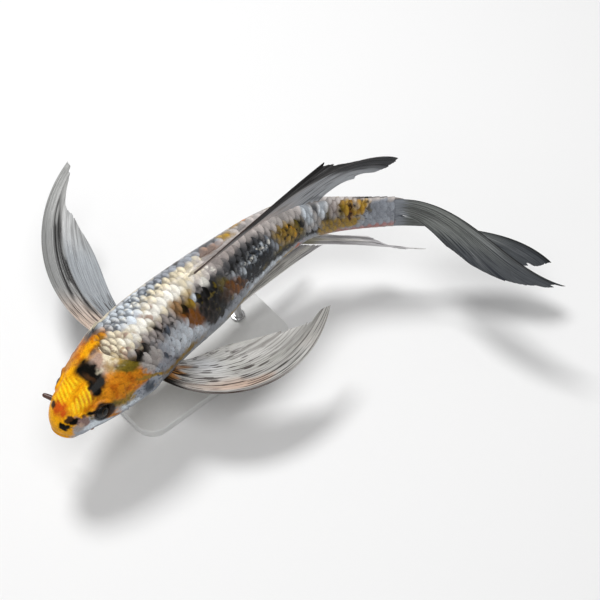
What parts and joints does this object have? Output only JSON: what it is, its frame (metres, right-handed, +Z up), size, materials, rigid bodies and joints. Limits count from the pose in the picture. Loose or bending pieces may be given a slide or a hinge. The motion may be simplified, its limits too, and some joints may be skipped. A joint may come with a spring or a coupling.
{
  "type": "koi carp model on display stand",
  "caption": "Life-size long-finned koi carp in a gliding, tail-turned pose, with spread fins, held level above a flat base by short rods.",
  "frame": {"origin": "centre of the stand base's underside, on the surface it stands on", "axes": "+Z up; the trunk lies along X with the snout towards -X; the fish's left flank faces -Y and its tail turns towards -Y"},
  "size_m": [0.3962, 0.3509, 0.168],
  "materials": {
    "koi_skin": "wet satin fish skin and scales: cream, silver-blue, black and ochre patches",
    "head_skin": "smooth wet satin skin, golden orange with black marks",
    "eye": "polished dark eye",
    "barbel": "soft satin flesh",
    "fin": "satin rayed fin membrane, grey with dark streaks",
    "stand_plate": "satin acrylic plate with eased edges",
    "stand_steel": "brushed steel rod"
  },
  "bodies": {
    "root": {"head": "head_skin", "lower_jaw": "head_skin", "gill_cover_left": "head_skin", "gill_cover_right": "head_skin", "trunk_front": "koi_skin", "trunk_rear": "koi_skin", "tail_stalk": "koi_skin", "eye_left": "eye", "eye_right": "eye", "barbel_left": "barbel", "barbel_right": "barbel", "lip_barbel_left": "barbel", "lip_barbel_right": "barbel", "dorsal_fin": "fin", "pectoral_fin_left": "fin", "pectoral_fin_right": "fin", "pelvic_fin_left": "fin", "pelvic_fin_right": "fin", "anal_fin": "fin", "tail_fin_upper": "fin", "tail_fin_lower": "fin", "stand_base": "stand_plate", "stand_rod_front": "stand_steel", "stand_rod_rear": "stand_steel"}
  },
  "joints": []
}
